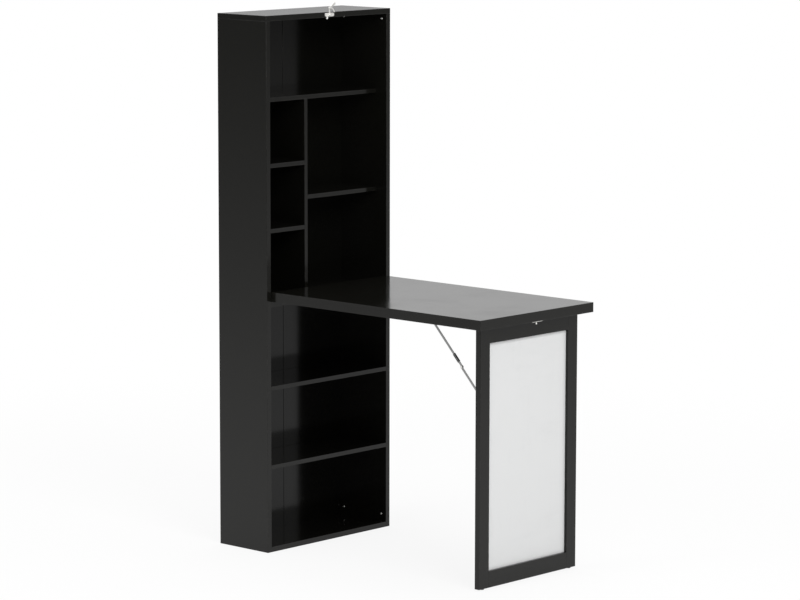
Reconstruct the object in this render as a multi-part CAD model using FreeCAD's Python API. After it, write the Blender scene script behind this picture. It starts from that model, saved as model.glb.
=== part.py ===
import FreeCAD, Part
import math
import os

# Folding desk: a tall open bookcase, a desktop that folds up against its front, and a
# framed leg panel with a whiteboard that folds flat under the desktop.
# Millimetres. +Z up, the open front faces -Y, X runs across the cabinet.
# The origin is the centre of the cabinet's base, on the floor.

# Cabinet carcass
cabinet_width = 500.0
cabinet_depth = 190.0
cabinet_height = 1500.0
panel = 15.0
shelf = 12.0
edge_break = 0.5
upper_setback = 40.0

# Upper face of the fixed board at desk height, and the places of the other boards' upper
# faces as shares of the space above that board or below it
board_top = 708.0
full_shelf_share = 0.7233
left_high_share = 0.4865
left_low_share = 0.25225
right_shelf_share = 0.361
lower_high_share = 0.66455
lower_low_share = 0.34958
divider_share = -0.106

# Back panel in two halves, held in grooves and by a plastic strip between them
back_sheet = 3.0
back_inset = 9.0
groove_depth = 5.0
groove_clearance = 0.1
strip_web = 1.0
strip_flange = 0.8
strip_width = 12.0
strip_clearance = 0.3

# Wooden dowels that join the boards
dowel_radius = 3.0
dowel_in_face = 8.0
dowel_in_end = 16.0
dowel_front = 46.0
dowel_rear = 40.0
bore_clearance = 0.05
bore_end_clearance = 0.5

# Small panel screws in the inner faces of the side panels
panel_screw_head = 3.4
panel_screw_head_height = 1.3
panel_screw_shank = 1.8
panel_screw_length = 9.0
panel_screw_front = 19.5
panel_screw_rear = 13.0
panel_screw_below_top = 14.5
panel_screw_above_bottom = 21.5

# Desktop. Its length follows from the latch, which holds its far end when it is folded up.
desk_side_inset = 17.0
desk_thickness = 27.0
desk_entry = 1.0

# Butt hinges, one size for the desktop and the leg
hinge_gap = 4.4
knuckle_radius = 2.05
hinge_pin_radius = 1.0
pin_clearance = 0.05
leaf_thickness = 1.0
leaf_width = 19.0
knuckle_count = 5
knuckle_clearance = 0.3
desk_hinge_length = 70.0
desk_hinge_spacing_share = 0.354
leg_hinge_length = 60.0
leg_hinge_spacing_share = 0.59
leaf_screw_place = 12.0
leaf_screw_spacing_share = 0.33

# Countersunk wood screws
screw_head_radius = 2.2
screw_shank_radius = 1.2
screw_length = 11.0
screw_tip = 2.0
cross_width = 0.6
cross_depth = 0.5

# Leg panel
leg_side_inset = 33.0
leg_thickness = 16.0
leg_setback = 28.5
stile_width = 39.0
top_rail_height = 44.0
bottom_rail_height = 45.0
glide_height = 3.0
glide_radius = 6.0
glide_inset = 20.0
glide_pin_radius = 1.3
glide_pin_length = 9.0
board_inset = 8.2
board_face = 0.8
board_backer = 2.2
board_groove = 5.0
board_clearance = 0.1
rail_dowel_share = 0.28

# Folding stays that brace the leg
stay_inset = 15.0
stay_desk_reach = 207.0
stay_leg_reach = 224.5
stay_pivot_drop = 2.4
arm_width = 6.4
arm_thickness = 1.5
arm_gap = 1.9
arm_eye_radius = 4.0
ear_thickness = 1.5
ear_gap = 0.2
ear_half_width = 5.0
ear_reach = 4.0
bracket_plate = 1.2
bracket_width = 18.0
bracket_half_length = 13.0
bracket_screw_share = 0.62
rivet_radius = 1.2
rivet_head_radius = 2.6
rivet_head_height = 0.8
knee_pin_clearance = 0.3
knee_head_radius = 3.7

# Lock sleeves on the upper stay arms
sleeve_length = 27.0
sleeve_from_knee = 17.0
sleeve_wall = 0.7
sleeve_clearance = 0.15
sleeve_front_lip = 2.8
sleeve_rear_lip = 0.9
sleeve_core = 0.9
sleeve_rib = 0.25
sleeve_rib_count = 4
sleeve_end_band = 2.5

# Keeper on the desktop's underside
keeper_width = 42.0
keeper_depth = 12.0
keeper_plate_thickness = 1.2
stud_from_end = 6.0
stud_neck_radius = 1.3
stud_ball_radius = 2.5
stud_ball_drop = 6.3
keeper_screw_x = 14.5

# Swing latch on the front edge of the top panel
latch_plate_width = 37.0
latch_plate_height = 10.0
latch_plate_thickness = 1.2
latch_corner = 4.6
latch_screw_inset = 5.6
latch_gap = 0.2
latch_arm_thickness = 1.5
latch_hub_radius = 4.7
latch_throat_radius = 15.1
latch_throat_half_width = 1.9
latch_finger_width = 4.0
latch_finger_end_angle = 25.0
latch_stem_angle = 100.0
latch_stem_width = 5.0
latch_thumb_root_angle = 88.0
latch_thumb_width = 6.6
latch_thumb_pad_radius = 4.2
latch_thumb_angle = 59.5
latch_reach = 39.5
latch_rivet_radius = 1.6
latch_rivet_head = 3.2
latch_rivet_head_height = 1.3
latch_tail_x = -14.4
latch_tail_z = -9.0
latch_tail_width = 2.6
knob_radius = 3.0
knob_sink = 0.6
knob_spigot_radius = 0.9

# Places that follow from the sizes above
V = FreeCAD.Vector
AXIS_X = V(1, 0, 0)
AXIS_Y = V(0, 1, 0)
AXIS_Z = V(0, 0, 1)
half_width = cabinet_width / 2
front_y = -cabinet_depth / 2
rear_y = cabinet_depth / 2
inner_x = half_width - panel
ceiling_z = cabinet_height - panel
upper_height = ceiling_z - board_top
full_shelf_top = board_top + full_shelf_share * upper_height
left_high_top = board_top + left_high_share * upper_height
left_low_top = board_top + left_low_share * upper_height
right_shelf_top = board_top + right_shelf_share * upper_height
lower_high_top = lower_high_share * board_top
lower_low_top = lower_low_share * board_top
divider_x = divider_share * cabinet_width
back_rear_y = rear_y - back_inset
back_front_y = back_rear_y - back_sheet
shelf_rear_y = back_front_y - strip_flange - groove_clearance / 2
upper_front_y = front_y + upper_setback
desk_width = cabinet_width - 2 * desk_side_inset
desk_rear_y = front_y + desk_entry
desk_top = board_top + desk_thickness
desk_axis_y = desk_rear_y + hinge_gap / 2
desk_axis_z = board_top + hinge_gap / 2
latch_z = ceiling_z + panel / 2
stud_y = desk_axis_y + desk_axis_z - (latch_z - latch_throat_radius)
desk_front_y = stud_y - stud_from_end
desk_length = desk_rear_y - desk_front_y
leg_front_y = desk_front_y + leg_setback
leg_back_y = leg_front_y + leg_thickness
leg_axis_y = leg_back_y + hinge_gap / 2
leg_axis_z = board_top - hinge_gap / 2
leg_mid_y = leg_front_y + leg_thickness / 2
leg_width = desk_width - 2 * leg_side_inset
opening_x = leg_width / 2 - stile_width
opening_top = board_top - top_rail_height
opening_bottom = glide_height + bottom_rail_height
stay_x = opening_x - stay_inset

nodes = {}
bores = {}


def box(x0, x1, y0, y1, z0, z1):
    """A plain block between two corners."""
    return Part.makeBox(x1 - x0, y1 - y0, z1 - z0, V(x0, y0, z0))


def board(x0, x1, y0, y1, z0, z1):
    """A laminated board: a block with its edges slightly broken."""
    block = box(x0, x1, y0, y1, z0, z1)
    return block.makeChamfer(edge_break, block.Edges)


def rod(start, direction, radius, length):
    """A cylinder from a point along a direction."""
    return Part.makeCylinder(radius, length, start, direction)


def fused(shapes):
    """One clean solid from overlapping shapes."""
    return shapes[0].multiFuse(shapes[1:]).removeSplitter()


def add(name, solids):
    """Give a node one or more separate solids."""
    nodes.setdefault(name, []).extend(solids)


def bore(name, cutter):
    """Remember a hole that a node gets once all pieces are placed."""
    bores.setdefault(name, []).append(cutter)


def dowel(start, direction, face_node, end_node):
    """A dowel whose start is the joint plane: it goes back into a face, on into an end."""
    tail = start - direction * dowel_in_face
    length = dowel_in_face + dowel_in_end
    hole = rod(tail - direction * bore_end_clearance, direction, dowel_radius + bore_clearance,
               length + 2 * bore_end_clearance)
    bore(face_node, hole)
    bore(end_node, hole)
    return rod(tail, direction, dowel_radius, length)


def screw(seat, inward, head_height):
    """A countersunk wood screw whose head lies flush at the seat point, with a cross slot."""
    head = Part.makeCone(screw_head_radius, screw_shank_radius, head_height, seat, inward)
    shank = rod(seat, inward, screw_shank_radius, screw_length - screw_tip)
    tip_seat = seat + inward * (screw_length - screw_tip)
    tip = Part.makeCone(screw_shank_radius, 0, screw_tip, tip_seat, inward)
    body = fused([head, shank, tip])
    slots = []
    for turn in (0, 90):
        slot = Part.makeBox(2 * screw_head_radius, cross_width, cross_depth,
                            V(-screw_head_radius, -cross_width / 2, 0))
        slot.rotate(V(0, 0, 0), AXIS_Z, turn)
        slots.append(slot.common(Part.makeCylinder(screw_head_radius / 2, cross_depth)))
    cross = fused(slots)
    cross.Placement = FreeCAD.Placement(seat, FreeCAD.Rotation(AXIS_Z, inward))
    return body.cut(cross)


def screw_hole(seat, inward, head_height):
    """The countersunk hole that a screw passes, and its pilot hole beyond."""
    grow = bore_clearance
    head = Part.makeCone(screw_head_radius + grow, screw_shank_radius + grow, head_height, seat, inward)
    pilot = rod(seat, inward, screw_shank_radius + grow, screw_length + bore_end_clearance)
    return fused([head, pilot])


def fasten(screw_node, seat, inward, plate, carriers):
    """Drive a screw through a plate into what carries it, and drill them."""
    add(screw_node, [screw(seat, inward, plate)])
    hole = screw_hole(seat, inward, plate)
    for name in carriers:
        bore(name, hole)


# Cabinet carcass: sides under a full-width top, everything else between the sides
def back_groove(z0, z1, x0, x1):
    """The slot that the back panel's edge stands in."""
    return box(x0, x1, back_front_y - groove_clearance, back_rear_y + groove_clearance, z0, z1)


def make_carcass():
    add("left_side_panel", [board(-half_width, -inner_x, front_y, rear_y, 0, ceiling_z)])
    add("right_side_panel", [board(inner_x, half_width, front_y, rear_y, 0, ceiling_z)])
    add("top_panel", [board(-half_width, half_width, front_y, rear_y, ceiling_z, cabinet_height)])
    add("bottom_panel", [board(-inner_x, inner_x, front_y, rear_y, 0, panel)])
    add("fixed_desk_board", [board(-inner_x, inner_x, front_y, shelf_rear_y, board_top - panel, board_top)])
    divider_left = divider_x - shelf / 2
    divider_right = divider_x + shelf / 2
    shelves = (
        ("full_width_shelf", -inner_x, inner_x, upper_front_y, full_shelf_top),
        ("left_shelf_upper", -inner_x, divider_left, upper_front_y, left_high_top),
        ("left_shelf_lower", -inner_x, divider_left, upper_front_y, left_low_top),
        ("right_shelf", divider_right, inner_x, upper_front_y, right_shelf_top),
        ("lower_shelf_upper", -inner_x, inner_x, front_y, lower_high_top),
        ("lower_shelf_lower", -inner_x, inner_x, front_y, lower_low_top),
    )
    for name, x0, x1, y0, top in shelves:
        add(name, [board(x0, x1, y0, shelf_rear_y, top - shelf, top)])
    add("divider", [board(divider_left, divider_right, upper_front_y, shelf_rear_y,
                          board_top, full_shelf_top - shelf)])
    reach = groove_depth
    for name, x0, x1 in (("left_side_panel", -inner_x - reach, -inner_x),
                         ("right_side_panel", inner_x, inner_x + reach)):
        bore(name, back_groove(panel - reach, ceiling_z, x0, x1))
    bore("bottom_panel", back_groove(panel - reach, panel, -inner_x, inner_x))
    bore("top_panel", back_groove(ceiling_z, ceiling_z + reach, -inner_x - reach, inner_x + reach))
    join_carcass(divider_left, divider_right)


def join_carcass(divider_left, divider_right):
    """Dowels in every board end, two to a joint."""
    pins = []
    joints = (
        ("bottom_panel", panel / 2, "left_side_panel", -inner_x, "right_side_panel", inner_x, front_y),
        ("fixed_desk_board", board_top - panel / 2, "left_side_panel", -inner_x,
         "right_side_panel", inner_x, front_y),
        ("full_width_shelf", full_shelf_top - shelf / 2, "left_side_panel", -inner_x,
         "right_side_panel", inner_x, upper_front_y),
        ("left_shelf_upper", left_high_top - shelf / 2, "left_side_panel", -inner_x,
         "divider", divider_left, upper_front_y),
        ("left_shelf_lower", left_low_top - shelf / 2, "left_side_panel", -inner_x,
         "divider", divider_left, upper_front_y),
        ("right_shelf", right_shelf_top - shelf / 2, "divider", divider_right,
         "right_side_panel", inner_x, upper_front_y),
        ("lower_shelf_upper", lower_high_top - shelf / 2, "left_side_panel", -inner_x,
         "right_side_panel", inner_x, front_y),
        ("lower_shelf_lower", lower_low_top - shelf / 2, "left_side_panel", -inner_x,
         "right_side_panel", inner_x, front_y),
    )
    for end_node, z, left_face, left_x, right_face, right_x, start_y in joints:
        for y in (start_y + dowel_front, shelf_rear_y - dowel_rear):
            pins.append(dowel(V(left_x, y, z), AXIS_X, left_face, end_node))
            pins.append(dowel(V(right_x, y, z), -AXIS_X, right_face, end_node))
    for side, name in ((-1, "left_side_panel"), (1, "right_side_panel")):
        for y in (front_y + dowel_front, rear_y - dowel_rear):
            x = side * (half_width - panel / 2)
            pins.append(dowel(V(x, y, ceiling_z), -AXIS_Z, "top_panel", name))
    for y in (upper_front_y + dowel_front / 2, shelf_rear_y - dowel_rear / 2):
        pins.append(dowel(V(divider_x, y, full_shelf_top - shelf), -AXIS_Z, "full_width_shelf", "divider"))
        pins.append(dowel(V(divider_x, y, board_top), AXIS_Z, "fixed_desk_board", "divider"))
    add("carcass_dowels", pins)


def make_back():
    """Two sheets that meet in an H-shaped strip at mid width."""
    inner_edge = strip_web / 2 + strip_clearance
    outer_edge = inner_x + groove_depth - strip_clearance
    low = panel - groove_depth + strip_clearance
    high = ceiling_z + groove_depth - strip_clearance
    add("back_panel_left", [box(-outer_edge, -inner_edge, back_front_y, back_rear_y, low, high)])
    add("back_panel_right", [box(inner_edge, outer_edge, back_front_y, back_rear_y, low, high)])
    slack = groove_clearance / 2
    web = box(-strip_web / 2, strip_web / 2, back_front_y - slack, back_rear_y + slack, panel, ceiling_z)
    flanges = [web]
    for y in (back_front_y - slack - strip_flange, back_rear_y + slack):
        flanges.append(box(-strip_width / 2, strip_width / 2, y, y + strip_flange, panel, ceiling_z))
    add("back_joint_strip", [fused(flanges)])


def make_panel_screws():
    """Eight small bright heads near the corners of the side panels' inner faces."""
    heads = []
    heights = (panel + panel_screw_above_bottom, ceiling_z - panel_screw_below_top)
    for side, name in ((-1, "left_side_panel"), (1, "right_side_panel")):
        outward = AXIS_X * side
        for y in (front_y + panel_screw_front, rear_y - panel_screw_rear - back_inset):
            for z in heights:
                seat = V(side * inner_x, y, z)
                head = rod(seat - outward * panel_screw_head_height, outward, panel_screw_head,
                           panel_screw_head_height)
                rim = [edge for edge in head.Edges
                       if abs(edge.CenterOfMass.x) < abs(seat.x) - panel_screw_head_height / 2
                       and edge.Length > panel_screw_head]
                head = head.makeFillet(panel_screw_head_height / 2, rim)
                shank = rod(seat, outward, panel_screw_shank, panel_screw_length)
                heads.append(fused([head, shank]))
                bore(name, rod(seat, outward, panel_screw_shank + bore_clearance,
                               panel_screw_length + bore_end_clearance))
    add("panel_screws", heads)


# Hinges. Each is made about its pin, then placed: one leaf lies level and runs towards +Y,
# the other stands on the face at its front. lift is 1 where that leaf rises, -1 where it hangs.
def knuckle_spans(length, start_index):
    pitch = length / knuckle_count
    spans = []
    for index in range(start_index, knuckle_count, 2):
        spans.append((-length / 2 + index * pitch + knuckle_clearance / 2,
                      -length / 2 + (index + 1) * pitch - knuckle_clearance / 2))
    return spans


def leaf(length, start_index):
    """A leaf that lies under the pin and runs towards +Y."""
    low = -hinge_gap / 2
    root = knuckle_radius + knuckle_clearance
    shapes = [box(-length / 2, length / 2, root, leaf_width, low, low + leaf_thickness)]
    for x0, x1 in knuckle_spans(length, start_index):
        shapes.append(box(x0, x1, 0, root, low, low + leaf_thickness))
        shapes.append(rod(V(x0, 0, 0), AXIS_X, knuckle_radius, x1 - x0))
    body = fused(shapes)
    return body.cut(rod(V(-length, 0, 0), AXIS_X, hinge_pin_radius + pin_clearance, 2 * length))


def place_leaf(shape, centre, standing, lift):
    if standing:
        shape.rotate(V(0, 0, 0), AXIS_X, 90)
        shape = shape.mirror(V(0, 0, 0), AXIS_Y)
    if lift < 0:
        shape = shape.mirror(V(0, 0, 0), AXIS_Z)
    shape.translate(centre)
    return shape


def make_hinge(prefix, level_leaf, standing_leaf, level_carrier, standing_carrier, centre, length, lift):
    """A pair of leaves, the pin between them and their screws."""
    add(level_leaf, [place_leaf(leaf(length, 0), centre, False, lift)])
    add(standing_leaf, [place_leaf(leaf(length, 1), centre, True, lift)])
    pin_start = centre - AXIS_X * (length / 2)
    add(prefix + "_hinge_pins", [rod(pin_start, AXIS_X, hinge_pin_radius, length)])
    skin = hinge_gap / 2 - leaf_thickness
    for place_share in (-leaf_screw_spacing_share, 0, leaf_screw_spacing_share):
        x = centre.x + place_share * length
        level_seat = V(x, centre.y + leaf_screw_place, centre.z - lift * skin)
        fasten(level_leaf.replace("leaves", "screws"), level_seat, V(0, 0, -lift), leaf_thickness,
               (level_leaf, level_carrier))
        standing_seat = V(x, centre.y - skin, centre.z + lift * leaf_screw_place)
        fasten(standing_leaf.replace("leaves", "screws"), standing_seat, V(0, -1, 0), leaf_thickness,
               (standing_leaf, standing_carrier))


def make_hinges():
    for place in (-1, 0, 1):
        centre = V(place * desk_hinge_spacing_share * desk_width, desk_axis_y, desk_axis_z)
        make_hinge("desk", "desk_hinge_board_leaves", "desk_hinge_desk_leaves", "fixed_desk_board",
                   "desktop", centre, desk_hinge_length, 1)
    for place in (-1, 1):
        centre = V(place * leg_hinge_spacing_share * opening_x, leg_axis_y, leg_axis_z)
        make_hinge("leg", "leg_hinge_desk_leaves", "leg_hinge_leg_leaves", "desktop",
                   "leg_top_rail", centre, leg_hinge_length, -1)


def make_desktop():
    half = desk_width / 2
    add("desktop", [board(-half, half, desk_front_y, desk_rear_y, board_top, desk_top)])


# Leg panel: two stiles, two rails, and the whiteboard held in a groove
def make_leg():
    half = leg_width / 2
    add("leg_left_stile", [board(-half, -opening_x, leg_front_y, leg_back_y, glide_height, board_top)])
    add("leg_right_stile", [board(opening_x, half, leg_front_y, leg_back_y, glide_height, board_top)])
    add("leg_top_rail", [board(-opening_x, opening_x, leg_front_y, leg_back_y, opening_top, board_top)])
    add("leg_bottom_rail", [board(-opening_x, opening_x, leg_front_y, leg_back_y,
                                  glide_height, opening_bottom)])
    face_y = leg_front_y + board_inset
    split_y = face_y + board_face
    rear = split_y + board_backer
    edge_x = opening_x + board_groove - board_clearance
    edge_low = opening_bottom - board_groove + board_clearance
    edge_high = opening_top + board_groove - board_clearance
    add("whiteboard_face", [box(-edge_x, edge_x, face_y, split_y, edge_low, edge_high)])
    add("whiteboard_backer", [box(-edge_x, edge_x, split_y, rear, edge_low, edge_high)])
    slot = box(-opening_x - board_groove, opening_x + board_groove, face_y - board_clearance,
               rear + board_clearance, opening_bottom - board_groove, opening_top + board_groove)
    for name in ("leg_left_stile", "leg_right_stile", "leg_top_rail", "leg_bottom_rail"):
        bore(name, slot)
    pins = []
    rails = (("leg_top_rail", opening_top, top_rail_height),
             ("leg_bottom_rail", glide_height, bottom_rail_height))
    for rail, low, height in rails:
        for share in (rail_dowel_share, 1 - rail_dowel_share):
            z = low + share * height
            pins.append(dowel(V(-opening_x, leg_dowel_y(), z), AXIS_X, "leg_left_stile", rail))
            pins.append(dowel(V(opening_x, leg_dowel_y(), z), -AXIS_X, "leg_right_stile", rail))
    add("leg_frame_dowels", pins)
    make_glides()


def leg_dowel_y():
    """The dowels run in the front half of the frame, clear of the board's groove."""
    return leg_front_y + (board_inset - board_clearance) / 2


def make_glides():
    glides = []
    for side, name in ((-1, "leg_left_stile"), (1, "leg_right_stile")):
        x = side * (leg_width / 2 - glide_inset)
        foot = V(x, leg_mid_y, 0)
        disc = rod(foot, AXIS_Z, glide_radius, glide_height)
        rim = [edge for edge in disc.Edges if edge.CenterOfMass.z < glide_height / 2
               and edge.Length > glide_radius and abs(edge.Vertexes[0].Z) < glide_height / 2
               and len(edge.Vertexes) == 1]
        disc = disc.makeFillet(glide_height / 3, rim)
        pin = rod(foot + AXIS_Z * glide_height, AXIS_Z, glide_pin_radius, glide_pin_length)
        glides.append(fused([disc, pin]))
        bore(name, rod(foot + AXIS_Z * glide_height, AXIS_Z, glide_pin_radius + bore_clearance,
                       glide_pin_length + bore_end_clearance))
    add("leg_glides", glides)


# Stays. side is -1 for the left one and 1 for the right one. Offsets count inwards from stay_x.
desk_pivot = V(0, leg_axis_y + stay_desk_reach, leg_axis_z - stay_pivot_drop)
leg_pivot = V(0, leg_axis_y - stay_pivot_drop, leg_axis_z - stay_leg_reach)
stay_span = (leg_pivot - desk_pivot).Length
stay_direction = (leg_pivot - desk_pivot).normalize()
upper_length = (stay_span + stay_leg_reach - stay_desk_reach) / 2
lower_length = stay_span - upper_length
knee_point = desk_pivot + stay_direction * upper_length
lower_offset = 0.0
upper_offset = arm_thickness + arm_gap
leg_ear_offset = -ear_gap - ear_thickness
desk_ear_offset = upper_offset + arm_thickness + ear_gap


def slab(side, offset, thickness, profile):
    """Thicken a flat profile, drawn at X zero, into a layer of the stay."""
    outer = side * (stay_x - offset)
    inner = side * (stay_x - offset - thickness)
    layer = profile.extrude(V(inner - outer, 0, 0))
    layer.translate(V(outer, 0, 0))
    return layer


def disc(point, radius):
    edge = Part.makeCircle(radius, point, AXIS_X)
    return Part.Face(Part.Wire([edge]))


def strap(start, end, width):
    """A flat bar's face between two points in the plane X zero."""
    along = (end - start).normalize()
    across = AXIS_X.cross(along) * (width / 2)
    points = [start + across, end + across, end - across, start - across, start + across]
    return Part.Face(Part.makePolygon(points))


def arm(side, offset, start, end):
    """A flat steel arm with a round eye and a rivet hole at each end."""
    profiles = [strap(start, end, arm_width), disc(start, arm_eye_radius), disc(end, arm_eye_radius)]
    body = fused([slab(side, offset, arm_thickness, profile) for profile in profiles])
    for point in (start, end):
        body = body.cut(slab(side, offset, arm_thickness, disc(point, rivet_radius + bore_clearance)))
    return body


def rivet(side, offset, length, point, heads):
    """A rivet shank over a span of offsets, with a head at each named end."""
    shapes = [slab(side, offset, length, disc(point, rivet_radius))]
    if "outer" in heads:
        shapes.append(slab(side, offset - rivet_head_height, rivet_head_height,
                           disc(point, rivet_head_radius)))
    if "inner" in heads:
        shapes.append(slab(side, offset + length, rivet_head_height, disc(point, rivet_head_radius)))
    return fused(shapes)


def leg_bracket(side):
    """An angle on the stile's back face whose ear dips into the frame's opening."""
    z0 = leg_pivot.z - bracket_half_length
    z1 = leg_pivot.z + bracket_half_length
    ear_x = sorted((side * (stay_x - leg_ear_offset), side * (stay_x + ear_gap)))
    plate_x = sorted((side * (opening_x + bracket_width), side * (stay_x + ear_gap)))
    plate = box(plate_x[0], plate_x[1], leg_back_y, leg_back_y + bracket_plate, z0, z1)
    ear = box(ear_x[0], ear_x[1], leg_pivot.y - ear_reach, leg_back_y,
              leg_pivot.z - ear_half_width, leg_pivot.z + ear_half_width)
    body = fused([plate, ear])
    depth = rivet_head_height + ear_gap
    notch = slab(side, leg_ear_offset - depth, depth, disc(leg_pivot, rivet_head_radius + ear_gap))
    hole = slab(side, leg_ear_offset, ear_thickness, disc(leg_pivot, rivet_radius + bore_clearance))
    return body.cut([notch, hole])


def desk_bracket(side):
    """An angle on the desktop's underside with its ear hanging beside the upper arm."""
    ear_outer = stay_x - desk_ear_offset
    ear_x = sorted((side * ear_outer, side * (ear_outer - ear_thickness)))
    plate_x = sorted((side * ear_outer, side * (ear_outer - ear_thickness - bracket_width)))
    plate = box(plate_x[0], plate_x[1], desk_pivot.y - bracket_half_length,
                desk_pivot.y + bracket_half_length, board_top - bracket_plate, board_top)
    ear = box(ear_x[0], ear_x[1], desk_pivot.y - ear_half_width, desk_pivot.y + ear_half_width,
              desk_pivot.z - ear_reach, board_top - bracket_plate)
    body = fused([plate, ear])
    hole = slab(side, desk_ear_offset, ear_thickness, disc(desk_pivot, rivet_radius + bore_clearance))
    return body.cut(hole)


def make_bracket_screws(side, stile):
    step = bracket_screw_share * bracket_half_length
    leg_x = side * (opening_x + bracket_width / 2)
    desk_x = side * (stay_x - desk_ear_offset - ear_thickness - bracket_width / 2)
    for way in (-1, 1):
        seat = V(leg_x, leg_back_y + bracket_plate, leg_pivot.z + way * step)
        fasten("stay_leg_bracket_screws", seat, -AXIS_Y, bracket_plate, ("stay_leg_brackets", stile))
        seat = V(desk_x, desk_pivot.y + way * step, board_top - bracket_plate)
        fasten("stay_desk_bracket_screws", seat, AXIS_Z, bracket_plate, ("stay_desk_brackets", "desktop"))


def lock_sleeve(side):
    """A ribbed plastic sleeve that slides along the upper arm. Its body lies on the arm's inner
    face and its lips hook round both edges, so part of the outer face stays bare."""
    end = knee_point - stay_direction * sleeve_from_knee
    start = end - stay_direction * sleeve_length
    wall = sleeve_clearance + sleeve_wall
    offset = upper_offset - wall
    depth = wall + arm_thickness + sleeve_clearance + sleeve_core
    body = slab(side, offset, depth, strap(start, end, arm_width + 2 * wall))
    pitch = (sleeve_length - 2 * sleeve_end_band) / (2 * sleeve_rib_count + 1)
    for index in range(sleeve_rib_count + 1):
        low = start + stay_direction * (sleeve_end_band + 2 * index * pitch)
        high = low + stay_direction * pitch
        ring = slab(side, offset, depth, strap(low, high, arm_width + 2 * wall))
        core = slab(side, offset, depth, strap(low, high, arm_width + 2 * (wall - sleeve_rib)))
        body = body.cut(ring.cut(core))
    track = strap(start - stay_direction, end + stay_direction, arm_width + 2 * sleeve_clearance)
    shift = AXIS_X.cross(stay_direction) * ((sleeve_rear_lip - sleeve_front_lip) / 2)
    if (start + shift).z > start.z:
        shift = -shift
    window = strap(start - stay_direction + shift, end + stay_direction + shift,
                   arm_width - sleeve_front_lip - sleeve_rear_lip)
    slack = arm_thickness + 2 * sleeve_clearance
    return body.cut([slab(side, upper_offset - sleeve_clearance, slack, track),
                     slab(side, offset, wall, window)])


def make_stays():
    for side, hand, stile in ((-1, "left", "leg_left_stile"), (1, "right", "leg_right_stile")):
        add(hand + "_upper_stay_arm", [arm(side, upper_offset, desk_pivot, knee_point)])
        formed = slab(side, lower_offset - rivet_head_height, rivet_head_height + arm_thickness,
                      disc(knee_point, knee_head_radius))
        add(hand + "_lower_stay_arm", [fused([arm(side, lower_offset, knee_point, leg_pivot), formed])])
        stub = arm_gap - knee_pin_clearance
        washer = slab(side, upper_offset - stub, stub, disc(knee_point, rivet_head_radius))
        pin = rivet(side, upper_offset - stub, arm_thickness + stub, knee_point, ("inner",))
        add(hand + "_knee_pin", [fused([washer, pin])])
        add(hand + "_lock_sleeve", [lock_sleeve(side)])
        add("stay_leg_brackets", [leg_bracket(side)])
        add("stay_desk_brackets", [desk_bracket(side)])
        stack = ear_thickness + ear_gap + arm_thickness
        add("stay_leg_rivets", [rivet(side, leg_ear_offset, stack, leg_pivot, ("outer", "inner"))])
        add("stay_desk_rivets", [rivet(side, upper_offset, stack, desk_pivot, ("outer", "inner"))])
        make_bracket_screws(side, stile)


# Keeper: a plate with a ball stud under the desktop's front end
def make_keeper():
    low = board_top - keeper_plate_thickness
    add("keeper_plate", [box(-keeper_width / 2, keeper_width / 2, desk_front_y + edge_break,
                             desk_front_y + keeper_depth, low, board_top)])
    top = V(0, stud_y, board_top)
    neck = rod(top, -AXIS_Z, stud_neck_radius, stud_ball_drop)
    ball = Part.makeSphere(stud_ball_radius, V(0, stud_y, board_top - stud_ball_drop))
    root = rod(top, AXIS_Z, stud_neck_radius, screw_length)
    add("keeper_ball_stud", [fused([neck, ball, root])])
    hole = rod(V(0, stud_y, low), AXIS_Z, stud_neck_radius + bore_clearance,
               screw_length + keeper_plate_thickness + bore_end_clearance)
    bore("keeper_plate", hole)
    bore("desktop", hole)
    for side in (-1, 1):
        seat = V(side * keeper_screw_x, stud_y, low)
        fasten("keeper_screws", seat, AXIS_Z, keeper_plate_thickness, ("keeper_plate", "desktop"))


# Latch: a hook that swings about a rivet on the top panel's front edge.
# Its outline is drawn about the rivet, with angles counted from +X towards +Z.
def polar(radius, angle):
    turn = math.radians(angle)
    return V(radius * math.cos(turn), 0, radius * math.sin(turn))


def ring_sector(centre, inner, outer, first, last):
    """A curved band about a centre, with rounded ends."""
    middle = (first + last) / 2
    arcs = []
    for radius in (outer, inner):
        arcs.append(Part.Arc(centre + polar(radius, first), centre + polar(radius, middle),
                             centre + polar(radius, last)).toShape())
    ends = []
    for angle in (first, last):
        ends.append(Part.makeLine(centre + polar(inner, angle), centre + polar(outer, angle)))
    face = Part.Face(Part.Wire(Part.__sortEdges__(arcs + ends)))
    caps = []
    for angle in (first, last):
        caps.append(flat_disc(centre + polar((inner + outer) / 2, angle), (outer - inner) / 2))
    return [face] + caps


def flat_disc(point, radius):
    return Part.Face(Part.Wire([Part.makeCircle(radius, point, AXIS_Y)]))


def flat_bar(start, end, width):
    along = (end - start).normalize()
    across = AXIS_Y.cross(along) * (width / 2)
    points = [start + across, end + across, end - across, start - across, start + across]
    return Part.Face(Part.makePolygon(points))


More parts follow.
